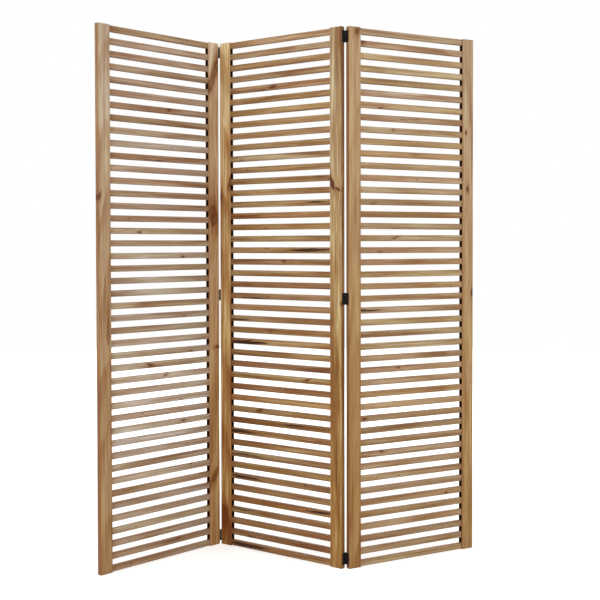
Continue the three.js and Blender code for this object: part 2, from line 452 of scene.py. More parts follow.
def buildPine(name, stainAndLight, endShadeDepth):
    material, tree, surface = newMaterial(name)
    finish = pineFinish
    place = attribute(tree, "boardPlace", "Vector")
    seed = attribute(tree, "boardSeed")
    dice = split(attribute(tree, "boardDice", "Vector"))  # stain depth, grey cast, figure
    half = split(attribute(tree, "boardHalf", "Vector"))  # half length, half height, length in a groove
    straight = split(place)
    core, halo = 0.0, 0.0
    for knot in "ABCD":
        mark = placeGroup(knotMark, {
            "Place": place,
            "Spot": attribute(tree, "knotSpot" + knot, "Vector"),
            "Shape": attribute(tree, "knotShape" + knot, "Vector"),
            "Seed": seed,
        })
        core = calc("MAXIMUM", mark["Core"], core)
        halo = calc("MAXIMUM", mark["Halo"], halo)
        place = mark["Bent Place"]
    figure = placeGroup(pineFigure, {
        "Place": place,
        "Seed": seed,
        "Ring Pitch": multiply(add(dice[2], finish["leastPitch"]), finish["ringPitch"]),
        "Wander": finish["wander"],
    })
    resin = placeGroup(resinStreak, {
        "Place": place,
        "Spot": attribute(tree, "streakSpot", "Vector"),
        "Length": finish["streakLength"],
        "Height": finish["streakHeight"],
        "Seed": seed,
    })["Mask"]

    # how deep the stain lies: the board's own depth and its figure, plus painted shade along the arrises and
    # ends and at the slats' left ends by the stile
    patchy = multiply(figure["Rings"], ramp(figure["Blotch"], *finish["ringPatches"]))
    figured = addUp([
        (ramp(figure["Streak"], *finish["streakEdge"]), finish["streakDepth"]),
        (figure["Blotch"], finish["blotchDepth"]),
        (patchy, finish["ringDepth"]),
        (figure["Threads"], finish["threadDepth"]),
        (1.0, -finish["usualFigure"]),
    ])
    nearEnd, nearSide = [subtract(half[i], calc("ABSOLUTE", straight[i])) for i in (0, 1)]
    # painted shade along the arrises and ends
    rim = ramp(calc("MINIMUM", nearSide, nearEnd), *finish["rimShadeReach"])
    # painted shade at the slats' left ends, beside the stile, fading away from where a slat leaves the groove
    leftEnd = add(half[0], straight[0])
    corner = ramp(subtract(leftEnd, half[2]), *finish["endShadeReach"])
    corner = multiply(corner, calc("GREATER_THAN", half[2], 0.0))
    depth = addUp([
        (dice[0], 1.0),
        (figured, dice[2]),
        (figure["Flecks"], finish["fleckDepth"]),
        (figure["Fibre"], finish["fibreDepth"]),
        (halo, finish["haloDepth"]),
        # painted shade along the arrises and ends
        (rim, finish["rimShadeDepth"]),
        # painted shade at the slats' left ends
        (corner, endShadeDepth),
    ])
    grey = addUp([(dice[1], 1.0), (centred(figure["Cast"]), finish["castSpread"])])
    rose = attribute(tree, "boardRose")
    shares = {}
    for i, axis in enumerate("XYZ"):
        total = addUp([
            (depth, -finish["stainCast"][i]),
            (grey, finish["greyCast"][i]),
            (rose, finish["roseCast"][i]),
        ])
        shares[axis] = calc("EXPONENT", total)
    color = vectorCalc("MULTIPLY", join(**shares), tint(stainAndLight)[:3])
    color = mixColor(core, color, tint(finish["knot"]))
    color = mixColor(resin, color, tint(finish["resin"]))
    relief = addUp([
        (figure["Fibre"], 1.0),
        (figure["Flecks"], finish["fleckRelief"]),
        (figure["Rings"], finish["ringRelief"]),
    ])
    wire({
        # the groove's inner faces get a near-black painted shade
        "Base Color": mixColor(attribute(tree, "grooveFace"), color, tint(finish["groove"])),
        "Roughness": ramp(figure["Fibre"], *finish["roughness"]),
        "Specular IOR Level": finish["specular"],
        "Normal": bumpNormal(finish, relief),
    }, surface)
    return material


hingeFinish = {
    "coat": "#121111",
    "dusty": "#1b1a19",
    "dust": (0.35, 0.65),
    "bare": "#46423e",
    "rubScale": 420.0,
    "rubAmount": 0.4,
    "metallic": 0.0,  # the coating is lacquer
    "specular": 0.22,
    "roughness": (0.3, 0.7, 0.48, 0.68),
    "bumpStrength": 0.2,
    "bumpDistance": 0.05 * mm,
}


def buildHingeSteel():
    material, tree, surface = newMaterial("blackenedSteel")
    finish = hingeFinish
    wear = placeGroup(rubbed, {
        "Place": addNode(tree, "ShaderNodeTexCoord")["Object"],
        "Eased": attribute(tree, "easedFace"),
        "Scale": finish["rubScale"],
        "Amount": finish["rubAmount"],
    })
    dust = ramp(wear["Grain"], *finish["dust"])
    color = mixColor(dust, tint(finish["coat"]), tint(finish["dusty"]))
    wire({
        "Base Color": mixColor(wear["Mask"], color, tint(finish["bare"])),
        "Roughness": ramp(wear["Grain"], *finish["roughness"]),
        "Metallic": finish["metallic"],
        "Specular IOR Level": finish["specular"],
        "Normal": bumpNormal(finish, wear["Grain"]),
    }, surface)
    return material


pine = {name: buildPine(name + "Pine", *look) for name, look in pineStainAndShade.items()}
hingeSteel = buildHingeSteel()
print("materials built:", len(pine) + 1)


# where the panels stand

def nodePoints(node):
    points = np.array([v.co for v in frame["nodes"][node].data.vertices])
    return np.unique(np.round(points, 6), axis=0)


def panelAxes(name):  # x along the panel, y through it from its front, z up, from its centre on the floor
    rail = nodePoints(name + "_top_rail")
    centre = rail.mean(axis=0)
    along = np.linalg.eigh(np.cov((rail - centre)[:, :2].T))[1][:, -1]
    heading = math.atan2(along[1], along[0])
    if math.cos(heading) < 0:
        heading += math.pi
    return Matrix.Translation((centre[0], centre[1], 0)) @ Matrix.Rotation(heading, 4, "Z")


def localBox(node, axes):  # a CAD node's lowest and highest corner in a panel's own axes
    points = np.array([axes.inverted() @ Vector(p) for p in nodePoints(node)])
    return points.min(axis=0), points.max(axis=0)


axesOf = {name: panelAxes(name) for name in panelNames}
print("panel headings:", [round(math.degrees(m.to_euler().z), 2) for m in axesOf.values()])


# helpers for meshes

def linked(name, data):
    item = bpy.data.objects.new(name, data)
    bpy.context.scene.collection.objects.link(item)
    return item


def newPiece(name, mesh, body, slot, *replaced):
    piece = linked(name, mesh)
    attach(piece, body)
    if replaced:
        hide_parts(*replaced)


def storeValues(mesh, name, values, domain="POINT"):
    values = np.asarray(values, dtype=np.float32)
    kind, key = ("FLOAT_VECTOR", "vector") if values.shape[1:] == (3,) else ("FLOAT", "value")
    mesh.attributes.new(name, kind, domain).data.foreach_set(key, values.ravel())


sharpFrom = {"wood": 40, "steel": 35}  # degrees


def smooth(mesh, stuff):  # rounded where faces turn gently, sharp at the arrises
    mesh.shade_smooth()
    mesh.set_sharp_from_angle(angle=math.radians(sharpFrom[stuff]))


def arc(x, y, radius, start, end, steps):
    angles = [math.radians(start + (end - start) * i / steps) for i in range(steps + 1)]
    return [(x + radius * math.cos(a), y + radius * math.sin(a)) for a in angles]


def circle(radius, sides):  # a single point where the radius is 0
    return arc(0, 0, radius, 0, 360 - 360 / sides, sides - 1) if radius else [(0, 0)]


def newRing(form, outline, z):
    return [form.verts.new((x, y, z)) for x, y in outline]


def bridge(form, rings):  # faces from each ring to the next
    for lower, upper in zip(rings, rings[1:]):
        count = max(len(lower), len(upper))
        for i in range(count):
            j = (i + 1) % count
            corners = [ring[k % len(ring)] for ring, k in ((lower, i), (lower, j), (upper, j), (upper, i))]
            form.faces.new(list(dict.fromkeys(corners)))


def capEnds(form, lowest, highest):
    form.faces.new(lowest[::-1])
    form.faces.new(highest)


def meshOf(form, name):
    mesh = bpy.data.meshes.new(name)
    form.to_mesh(mesh)
    form.free()
    return mesh


def plainMesh(holder):  # what an object's modifiers or its curve make
    graph = bpy.context.evaluated_depsgraph_get()
    return bpy.data.meshes.new_from_object(holder.evaluated_get(graph), depsgraph=graph)


# stiles

stileSize = {
    "edgeRadius": 1.0 * mm,
    "lipRadius": 1.0 * mm,
    "endRadius": 0.8 * mm,
    "grooveDepth": 12 * mm,
    "grooveClearance": 0.3 * mm,
    "arcSteps": 5,
    "endSteps": 3,
}
plainKnot = (0.0, 0.0, 0.0, 1.0, 0.0, 0.0)
stileLooks = {
    # foot and head: stain depth, grey cast and figure there; the head's lighter, greyer tone is partly the
    # board's own colour and partly painted light from above; rose: how red the wood is
    # knots: height, distance from the outer edge, size, stretch, lean, depth
    "left_panel_left_stile": {
        "seed": 80.3, "foot": (0.8, -0.26, 1.0), "head": (-0.45, -0.06, 0.9), "rose": 0.01,
        "knots": [(1.205, 0.003, 0.0045, 2.2, 0.3, 1.0), (0.775, 0.034, 0.008, 5.0, 0.0, 0.6)],
    },
    "left_panel_right_stile": {
        "seed": 87.6, "foot": (0.5, -0.47, 1.0), "head": (-0.8, -0.2, 1.0), "rose": 0.09,
        "knots": [
            (1.638, 0.023, 0.012, 4.8, -0.36, 1.25),
            (1.152, 0.025, 0.0165, 2.0, 0.1, 1.25),
            (0.695, 0.008, 0.011, 0.4, -0.5, 1.2),
            (0.245, 0.022, 0.011, 2.2, -0.5, 1.0),
        ],
    },
    "middle_panel_left_stile": {
        "seed": 94.9, "foot": (0.04, -0.34, 1.7), "head": (-1.6, -0.19, 1.5), "rose": 0.07,
        "knots": [
            (1.262, 0.042, 0.007, 3.6, 0.2, 0.95),
            (1.222, 0.003, 0.005, 3.0, -0.2, 0.7),
            (0.1, 0.016, 0.014, 2.4, 0.15, 0.7),
        ],
    },
    "middle_panel_right_stile": {
        "seed": 102.2, "foot": (-0.25, -0.35, 2.0), "head": (-0.8, 0.08, 2.0), "rose": -0.04,
        "knots": [
            (1.253, 0.039, 0.0075, 3.0, 0.36, 1.5),
            (1.229, 0.019, 0.007, 0.7, 1.2, 1.3),
            (0.86, 0.003, 0.003, 1.6, 0.0, 1.0),
        ],
    },
    "right_panel_left_stile": {
        "seed": 109.5, "foot": (0.7, -0.25, 0.9), "head": (-0.3, -0.06, 0.8), "rose": 0.02,
        "knots": [(1.736, 0.031, 0.008, 1.3, 0.3, 0.9)],
    },
    "right_panel_right_stile": {
        "seed": 116.8, "foot": (0.38, -0.25, 1.0), "head": (-0.3, 0.02, 1.0), "rose": 0.02,
        "knots": [
            (1.432, 0.031, 0.0042, 1.5, 0.0, 1.25),
            (1.24, 0.0235, 0.0046, 1.9, 0.0, 1.2),
            (0.885, 0.003, 0.005, 2.2, 0.0, 1.0),
        ],
    },
}


def stileOutline(width, thickness, grooveHalf, inset):
    # once round the section from the outer edge, with a mark on each point where a groove face starts
    size = stileSize
    half = thickness / 2
    outer, lip, steps = size["edgeRadius"], size["lipRadius"], size["arcSteps"]
    floor = width - size["grooveDepth"]
    front = arc(outer, outer - half, outer - inset, 180, 270, steps)
    front += arc(width - lip, lip - half, lip - inset, 270, 360, steps)
    groove = [(width - inset, -grooveHalf), (floor, -grooveHalf), (floor, grooveHalf)]
    back = [(width - inset, grooveHalf), *arc(width - lip, half - lip, lip - inset, 0, 90, steps)]
    back += arc(outer, half - outer, outer - inset, 90, 180, steps)
    return front + groove + back, [False] * len(front) + [True] * len(groove) + [False] * len(back)


def paintBoard(mesh, place, half, look):  # what the pine material reads from a single board
    share = (place[:, :1] + half[0]) / (2 * half[0])  # 0 at the foot, 1 at the head
    vectors = {
        "boardPlace": place,
        "boardHalf": half,
        "boardDice": (1 - share) * look["foot"] + share * look["head"],
    }
    for letter, knot in zip("ABCD", look["knots"] + [plainKnot] * 4):
        vectors["knotSpot" + letter] = (knot[0] - half[0], knot[1] - half[1], knot[2])
        vectors["knotShape" + letter] = knot[3:]
    ones = np.ones((len(place), 1))
    for name, value in vectors.items():
        storeValues(mesh, name, ones * value)
    storeValues(mesh, "boardSeed", ones * look["seed"])
    storeValues(mesh, "boardRose", ones * look["rose"])


def stileMesh(name, width, thickness, height, barThickness, look):
    size = stileSize
    grooveHalf = barThickness / 2 + size["grooveClearance"]
    ease = size["endRadius"]
    levels = [(ease + z, ease + inset) for inset, z in arc(0, 0, ease, 270, 180, size["endSteps"])]
    levels += [(height - z, inset) for z, inset in levels[::-1]]
    form = bmesh.new()
    rings = []
    for z, inset in levels:
        outline, inGroove = stileOutline(width, thickness, grooveHalf, inset)
        rings.append(newRing(form, outline, z))
    bridge(form, rings)
    capEnds(form, rings[0], rings[-1])
    mesh = meshOf(form, name)
    # marks the groove's inner faces, which the pine material paints near black as painted shade
    storeValues(mesh, "grooveFace", inGroove * (len(rings) - 1) + [False, False], "FACE")
    points = np.array([v.co for v in mesh.vertices])
    place = np.stack([points[:, 2] - height / 2, points[:, 0] - width / 2, points[:, 1]], axis=1)
    paintBoard(mesh, place, (height / 2, width / 2, 0.0), look)
    smooth(mesh, "wood")
    return mesh


def makeStiles(panel):
    axes = axesOf[panel]
    low, high = localBox(panel + "_right_stile", axes)
    railLow, railHigh = localBox(panel + "_top_rail", axes)
    size = (high[0] - low[0], high[1] - low[1], high[2], railHigh[1] - railLow[1])
    nodes = {"left": panel + "_left_stile_with_slats", "right": panel + "_right_stile"}
    stands = {
        "left": Matrix.Translation((-high[0], 0, 0)),
        "right": Matrix.Translation((high[0], 0, 0)) @ Matrix.Rotation(math.pi, 4, "Z"),
    }
    for side, node in nodes.items():
        name = f"{panel}_{side}_stile"
        mesh = stileMesh(name + "_pine", *size, stileLooks[name])
        mesh.materials.append(pine[panel])
        mesh.transform(axes @ stands[side])
        newPiece(name + "_pine", mesh, panel, panel + "_pine", node)


for panel in panelNames:
    makeStiles(panel)
print("stiles built")


# slats and rails; a key written like "Edge Radius" is an input of the slat tree

slatSize = {
    "Edge Radius": 1.2 * mm,
    "Edge Steps": 3,
    "Play": (0.0, 0.15 * mm, 0.5 * mm),  # how far a slat strays from its even pitch
    "Tilt": math.radians(0.12),
    "In Groove": 11.6 * mm,
    "Knot Low": (-0.17, -0.008, -8 * mm),  # a knot below zero in size isn't drawn
    "Knot High": (0.17, 0.008, 4.5 * mm),
    "Shape Low": (1.0, -0.3, 0.35),
    "Shape High": (2.6, 0.3, 0.9),
}
slatRows = {
    # dice and tones: stain depth, grey cast and figure; rise: how much deeper a metre further up, partly the
    # boards' own colour and partly painted light and shade by height
    # streaks: along, across, strength; knots: as on the stiles but from the bar's middle
    # knots, streaks and tones go by the bar's number above the bottom rail, and stand in for the drawn ones
    "left_panel": {
        "bars": 44, "Seed": 3,
        "Dice Low": (-0.38, -0.05, 0.8), "Dice High": (0.38, 0.05, 1.2),
        "Rose": 0.06, "Rise": 0.4,
        "Streak Low": (-0.2, -0.009, -3.2), "Streak High": (0.2, 0.009, 0.8),
        "knots": {
            37: (0.035, 0.003, 0.004, 1.6, 0.3, 0.8), 27: (-0.09, -0.004, 0.004, 1.8, 0.0, 0.8),
            16: (-0.05, 0.0, 0.0045, 2.2, -0.3, 0.9), 15: (0.015, 0.002, 0.004, 2.0, 0.2, 0.7),
            11: (0.09, 0.001, 0.004, 2.4, 0.0, 0.6),
        },
        "streaks": {13: (-0.145, 0.0, 0.5)},
        "tones": {0: (0.25, -0.06, 1.0), 1: (0.35, -0.02, 1.0), 6: (0.4, -0.05, 1.0)},
    },
    "middle_panel": {
        "bars": 45, "Seed": 8,
        "Dice Low": (-0.17, -0.1, 1.0), "Dice High": (0.17, 0.1, 1.7),
        "Rose": 0.08, "Rise": -0.46,
        "Streak Low": (-0.2, -0.009, -1.3), "Streak High": (0.2, 0.009, 0.9),
        "knots": {
            40: (-0.023, 0.001, 0.0055, 2.2, 0.1, 0.9), 25: (0.02, 0.004, 0.004, 1.6, 0.0, 1.0),
            15: (0.114, 0.002, 0.0045, 1.8, 0.2, 0.9), 12: (-0.083, 0.002, 0.0055, 2.2, 0.2, 0.9),
        },
        "streaks": {
            32: (0.15, 0.004, 0.7), 30: (0.155, 0.002, 0.8), 26: (0.125, 0.001, 1.25),
            20: (-0.175, -0.003, 0.8), 19: (0.165, -0.002, 0.6), 18: (-0.14, -0.003, 1.35),
            11: (0.067, 0.004, 0.9), 10: (-0.185, 0.0, 1.2), 8: (-0.15, 0.0, 0.8),
            6: (-0.16, 0.0, 0.9), 4: (0.165, 0.001, 1.0), 0: (-0.13, 0.001, 1.3),
        },
        "tones": {},
    },
    "right_panel": {
        "bars": 45, "Seed": 21,
        "Dice Low": (-0.33, -0.08, 0.8), "Dice High": (0.33, 0.08, 1.4),
        "Rose": 0.08, "Rise": -0.08,
        "Streak Low": (-0.2, -0.009, -2.6), "Streak High": (0.2, 0.009, 0.8),
        "knots": {
            43: (-0.196, 0.004, 0.0045, 1.5, 0.0, 1.0), 27: (-0.07, 0.002, 0.0045, 3.0, 0.3, 0.5),
            12: (-0.19, 0.0, 0.004, 1.5, 0.0, 1.0),
        },
        "streaks": {34: (0.03, 0.001, 0.6), 33: (-0.02, -0.003, 0.5), 21: (-0.195, 0.0, 0.9)},
        "tones": {},
    },
}
seedStep = 100.0  # from one kind of draw to the next
boardSeeds = 400.0
barMarks = {  # attribute: which marks set it, and which of their numbers
    "knotSpotA": ("knots", slice(0, 3)),
    "knotShapeA": ("knots", slice(3, 6)),
    "streakSpot": ("streaks", slice(0, 3)),
    "boardDice": ("tones", slice(0, 3)),
}


def randomValue(kind, low, high, seed):
    node = seed.id_data.nodes.new("FunctionNodeRandomValue")
    node.data_type = kind
    wire({"Min": low, "Max": high, "Seed": seed}, {item.name: item for item in node.inputs if item.enabled})
    return next(item for item in node.outputs if item.enabled)


def eitherWay(reach, seed):
    return randomValue("FLOAT", multiply(reach, -1.0), reach, seed)


def storeNamed(geometry, name, kind, value):
    inputs = {"Geometry": geometry, "Name": name, "Value": value}
    return feed("GeometryNodeStoreNamedAttribute", inputs, data_type=kind)[0]


def positionOf(tree):
    return tree.nodes.new("GeometryNodeInputPosition").outputs[0]


def finishTree(points, instance, rotation, material, result):
    inputs = {"Points": points, "Instance": instance, "Rotation": rotation}
    placed = feed("GeometryNodeInstanceOnPoints", inputs)[0]
    real = feed("GeometryNodeRealizeInstances", {"Geometry": placed})[0]
    wire(feed("GeometryNodeSetMaterial", {"Geometry": real, "Material": material}), result)


def buildSlatTree():
    ranges = [name + end for name in ("Dice", "Knot", "Shape", "Streak") for end in (" Low", " High")]
    tree, value, result = newGroup(
        "slatRow",
        "GeometryNodeTree",
        {
            "Geometry": ["Geometry"],
            "Int": ["Count", "Edge Steps", "Seed"],
            "Float": [
                "Length", "Height", "Thickness", "Lowest", "Pitch", "Edge Radius", "Tilt", "In Groove",
                "Middle", "Rise", "Rose",
            ],
            "Vector": ["Play", *ranges],
            "Material": ["Wood"],
        },
        {"Geometry": ["Geometry"]},
    )
    # one slat: a rounded section swept along X
    section = feed("GeometryNodeCurvePrimitiveQuadrilateral", {
        "Width": value["Thickness"],
        "Height": value["Height"],
    })[0]
    section = feed("GeometryNodeFilletCurve", {
        "Curve": section,
        "Count": value["Edge Steps"],
        "Radius": value["Edge Radius"],
    }, mode="POLY")[0]
    half = divide(value["Length"], 2.0)
    ends = {"Start": join(X=multiply(half, -1.0)), "End": join(X=half)}
    slat = feed("GeometryNodeCurveToMesh", {
        "Curve": feed("GeometryNodeCurvePrimitiveLine", ends)[0],
        "Profile Curve": section,
        "Fill Caps": True,
    })[0]
    along, through, up = split(positionOf(tree))
    slat = storeNamed(slat, "boardPlace", "FLOAT_VECTOR", join(X=along, Y=up, Z=through))

    # the row of slats, each with its own seed, tone, knot and dark streak
    row = feed("GeometryNodeMeshLine", {
        "Count": value["Count"],
        "Start Location": join(Z=value["Lowest"]),
        "Offset": join(Z=value["Pitch"]),
    }, mode="OFFSET", count_mode="TOTAL")[0]
    seeds = [add(value["Seed"], i * seedStep) for i in range(8)]
    row = storeNamed(row, "boardSeed", "FLOAT", randomValue("FLOAT", 0.0, boardSeeds, seeds[0]))
    height = split(positionOf(tree))[2]
    risen = join(X=multiply(subtract(height, value["Middle"]), value["Rise"]))
    drawn = {"boardDice": "Dice", "knotSpotA": "Knot", "knotShapeA": "Shape", "streakSpot": "Streak"}
    for seed, (name, label) in zip(seeds[1:], drawn.items()):
        draw = randomValue("FLOAT_VECTOR", value[label + " Low"], value[label + " High"], seed)
        if label == "Dice":
            draw = vectorCalc("ADD", draw, risen)
        row = storeNamed(row, name, "FLOAT_VECTOR", draw)
    row = storeNamed(row, "boardRose", "FLOAT", eitherWay(value["Rose"], seeds[7]))
    reach = join(X=half, Y=divide(value["Height"], 2.0), Z=value["In Groove"])
    row = storeNamed(row, "boardHalf", "FLOAT_VECTOR", reach)
    least = vectorCalc("MULTIPLY", value["Play"], (-1.0, -1.0, -1.0))
    stray = randomValue("FLOAT_VECTOR", least, value["Play"], seeds[5])
    row = feed("GeometryNodeSetPosition", {"Geometry": row, "Offset": stray})[0]
    turn = join(Y=eitherWay(value["Tilt"], seeds[6]))
    finishTree(row, slat, turn, value["Wood"], result)
    return tree


slatTree = buildSlatTree()


def growMesh(name, tree, values, source=None):
    # runs a Geometry Nodes tree on an empty mesh or on source, and keeps the result as a plain mesh
    holder = linked(name + "_grow", source or bpy.data.meshes.new(name + "_seed"))
    modifier = holder.modifiers.new("grow", "NODES")
    modifier.node_group = tree
    for item in tree.interface.items_tree:
        if item.in_out == "INPUT" and item.name in values:
            modifier[item.identifier] = values[item.name]
    holder.update_tag()
    mesh = plainMesh(holder)
    mesh.name = name
    holder.modifiers.remove(modifier)
    bpy.data.objects.remove(holder)
    return mesh


def makeBars(panel):
    axes = axesOf[panel]
    row = slatRows[panel]
    bottomLow, bottomHigh = localBox(panel + "_bottom_rail", axes)
    topLow, topHigh = localBox(panel + "_top_rail", axes)
    length, thickness, height = [float(side) for side in topHigh - topLow]
    first, last = (bottomLow[2] + bottomHigh[2]) / 2, (topLow[2] + topHigh[2]) / 2
    pitch = (last - first) / (row["bars"] - 1)
    parts = {  # how many bars, number of the lowest, node
        "slats": (row["bars"] - 2, 1, panel + "_left_stile_with_slats"),
        "bottom_rail": (1, 0, panel + "_bottom_rail"),
        "top_rail": (1, row["bars"] - 1, panel + "_top_rail"),
    }
    for index, (part, (count, lowest, node)) in enumerate(parts.items()):
        values = {
            **slatSize,
            **row,
            "Seed": row["Seed"] + index,
            "Count": count,
            "Length": length,
            "Height": height,
            "Thickness": thickness,
            "Lowest": float(first + lowest * pitch),
            "Pitch": float(pitch),
            "Middle": (first + last) / 2,
            "Wood": pine[panel],
        }
        if count == 1:  # a rail stays in line
            values["Play"] = (0.0, slatSize["Play"][1], 0.0)
            values["Tilt"] = 0.0
        name = f"{panel}_{part}_pine"
        mesh = growMesh(name, slatTree, values)
        perBar = len(mesh.vertices) // count
        for attributeName, (marks, numbers) in barMarks.items():
            for bar, mark in row[marks].items():
                if lowest <= bar < lowest + count:
                    start = (bar - lowest) * perBar
                    for point in mesh.attributes[attributeName].data[start:start + perBar]:
                        point.vector = mark[numbers]
        mesh.transform(axes)
        smooth(mesh, "wood")
        newPiece(name, mesh, panel, panel + "_pine", node)


for panel in panelNames:
    makeBars(panel)
print("slats and rails built")


# hinges

hinge = {
    "reach": 15.5 * mm,
    "sheet": 1.2 * mm,
    "cornerRadius": 2.5 * mm,
    "cornerSteps": 6,
    "softening": 0.15 * mm,
    "knuckles": 5,
    "knuckleGap": 0.3 * mm,
    "notchGap": 0.08 * mm,
    "knuckleRadius": 2.4 * mm,
    "boreRadius": 1.5 * mm,
    "curlEnd": 58,  # degrees, where the rolled strap stops short of the sheet
    "curlSteps": 30,
    "screwReach": 9 * mm,
    "screwSpacing": 20 * mm,
    "screwHoleRadius": 2.85 * mm,
    "screwHoleSides": 24,
    "mergeBelow": 0.002 * mm,
    "straightAbove": 0.95,  # a face whose normal has no part above this is an eased one
    "pinRadius": 1.2 * mm,
    "pinPoint": (0.6, 0.1 * mm, 0.35 * mm),  # share of the radius, how far it sticks out, how long it is
    "pinHeadRadius": 2.0 * mm,
    "pinHeadHeight": 0.8 * mm,
    "pinHeadRim": 0.45,  # share of the head's height below its dome
    "pinDome": (25, 50, 72),  # degrees
    "pinSides": 28,
}
jointPins = {joint["name"]: Vector(joint["pos_m"]) for joint in frame["joints"]}
jointSides = {  # panel left of the pins, panel right of them, side where the barrel shows
    "left": ("left_panel", "middle_panel", "front"),
    "right": ("middle_panel", "right_panel", "back"),
}
screwSpots = {name: [] for name in panelNames}


def cutSheet(outline, holes):  # a flat sheet with holes and softened edges, centred on z = 0
    softening = hinge["softening"]
    curve = bpy.data.curves.new("sheetCut", "CURVE")
    curve.dimensions = "2D"
    curve.fill_mode = "BOTH"
    curve.extrude = hinge["sheet"] / 2 - softening
    curve.bevel_depth = softening
    curve.bevel_resolution = 1
    curve.offset = -softening
    for loop in [outline, *holes]:
        spline = curve.splines.new("POLY")
        spline.points.add(len(loop) - 1)
        for point, (x, y) in zip(spline.points, loop):
            point.co = (x, y, 0, 1)
        spline.use_cyclic_u = True
    holder = linked("sheetCut", curve)
    mesh = plainMesh(holder)
    bpy.data.objects.remove(holder)
    bpy.data.curves.remove(curve)
    return mesh


def knuckleSpans(firstKnuckle, length):  # (low, high) of each knuckle that a leaf owns, and of each gap in it
    step = length / hinge["knuckles"]
    play = hinge["knuckleGap"] / 2
    owned, gaps = [], []
    for k in range(hinge["knuckles"]):
        low, high = -length / 2 + k * step, -length / 2 + (k + 1) * step
        lowPlay = play * (k > 0)
        highPlay = play * (k < hinge["knuckles"] - 1)
        if k % 2 == firstKnuckle:
            owned.append((low + lowPlay, high - highPlay))
        else:
            gaps.append((low - lowPlay, high + highPlay))
    return owned, gaps


def leafOutline(owned, gaps, length):  # in the sheet's own plane: u out from the pin, v up
    reach, corner, steps = hinge["reach"], hinge["cornerRadius"], hinge["cornerSteps"]
    notch = hinge["knuckleRadius"] + hinge["notchGap"]
    spans = sorted([(low, high, 0.0) for low, high in owned] + [(low, high, notch) for low, high in gaps])
    outline = arc(reach - corner, corner - length / 2, corner, -90, 0, steps)
    outline += arc(reach - corner, length / 2 - corner, corner, 0, 90, steps)
    for low, high, u in reversed(spans):
        outline += [(u, high), (u, low)]
    return outline


def leafMesh(name, firstKnuckle, length):
    # pin axis on Z, wood towards +X, the sheet reaching towards +Y
    owned, gaps = knuckleSpans(firstKnuckle, length)
    radius, sheet, curlEnd = hinge["knuckleRadius"], hinge["sheet"], hinge["curlEnd"]
    sides = hinge["screwHoleSides"]
    holes = [arc(hinge["screwReach"], side * hinge["screwSpacing"] / 2, hinge["screwHoleRadius"],
                 360, 360 / sides, sides - 1) for side in (-1, 1)]
    plate = cutSheet(leafOutline(owned, gaps, length), holes)
    plate.transform(Matrix(((0, 0, 1, radius - sheet / 2), (1, 0, 0, 0), (0, 1, 0, 0), (0, 0, 0, 1))))
    form = bmesh.new()
    form.from_mesh(plate)
    bmesh.ops.remove_doubles(form, verts=form.verts, dist=hinge["mergeBelow"])
    slanted = form.faces.layers.float.new("easedFace")
    for face in form.faces:
        face.normal_update()
        face[slanted] = float(max(abs(c) for c in face.normal) < hinge["straightAbove"])
    outer = arc(0, 0, radius, 0, curlEnd - 360, hinge["curlSteps"])
    inner = arc(0, 0, hinge["boreRadius"], curlEnd - 360, 0, hinge["curlSteps"])
    curl = [(radius, sheet), *outer, *inner, (radius - sheet, sheet)]
    for low, high in owned:
        lower, upper = newRing(form, curl, low), newRing(form, curl, high)
        bridge(form, [lower, upper])
        capEnds(form, lower, upper)
    bmesh.ops.recalc_face_normals(form, faces=form.faces)
    return meshOf(form, name)


def pinMesh(name, length):
    radius, head, height = hinge["pinRadius"], hinge["pinHeadRadius"], hinge["pinHeadHeight"]
    narrow, tip, full = hinge["pinPoint"]
    rim = hinge["pinHeadRim"]
    foot, top = -length / 2, length / 2 + hinge["knuckleGap"]
    profile = [(0, foot - tip), (radius * narrow, foot), (radius, foot + full)]
    profile += [(radius, top), (head, top), (head, top + height * rim)]
    profile += [(head * math.cos(a), top + height * (rim + (1 - rim) * math.sin(a)))
                for a in map(math.radians, hinge["pinDome"])]
    profile.append((0, top + height))
    form = bmesh.new()
    bridge(form, [newRing(form, circle(r, hinge["pinSides"]), z) for r, z in profile])
    return meshOf(form, name)


def hingePiece(node, mesh, panel, stand):
    mesh.materials.append(hingeSteel)
    smooth(mesh, "steel")
    mesh.transform(stand)
    newPiece(node + "_steel", mesh, panel, "hinge_steel", node)


def makeHinge(joint, place):
    leftPanel, rightPanel, barrel = jointSides[joint]
    for panel, onLeft in ((leftPanel, True), (rightPanel, False)):
        kind = "inner" if panel == "middle_panel" else "outer"
        node = f"{joint}_{place}_hinge_{kind}_leaf"
        low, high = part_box(node)
        length = high.z - low.z
        pin = jointPins[joint + "_fold"].copy()
        pin.z = (high.z + low.z) / 2
        stand = Matrix.Translation(pin) @ Matrix.Rotation(axesOf[panel].to_euler().z, 4, "Z")
        if barrel == "back":
            stand = stand @ Matrix.Rotation(math.pi, 4, "X")
        if onLeft:
            stand = stand @ Matrix.Rotation(math.pi, 4, "Y")
        hingePiece(node, leafMesh(node + "_steel", 0 if kind == "inner" else 1, length), panel, stand)
        face = hinge["knuckleRadius"] - hinge["sheet"]
        for side in (-1, 1):
            spot = stand @ Vector((face, hinge["screwReach"], side * hinge["screwSpacing"] / 2))
            screwSpots[panel].append((spot, stand.to_3x3() @ Vector((-1, 0, 0))))
    node = f"{joint}_{place}_hinge_pin"
    hingePiece(node, pinMesh(node + "_steel", length), "middle_panel", Matrix.Translation(pin))


for joint in jointSides:
    for place in ("top", "middle", "bottom"):
        makeHinge(joint, place)
print("hinges built")


# screws

screw = {
    "headRadius": 2.75 * mm,
    "neckRadius": 1.5 * mm,
    "headDepth": 1.15 * mm,
    "shankLength": 12 * mm,
    "slotReach": 1.5 * mm,
    "slotHalf": 0.36 * mm,
    "slotDepth": 0.7 * mm,
    "slotTaper": 0.8,
    "sides": 24,
    "threadTurns": 7,
    "threadStart": 0.06,  # shares of the shank's length
    "threadRise": 0.05,
    "threadHeight": 1.32,  # share of the core
    "coreShare": (0.78, 0.5),  # of the neck, at the head and lost by the tip
    "seed": 5,
}


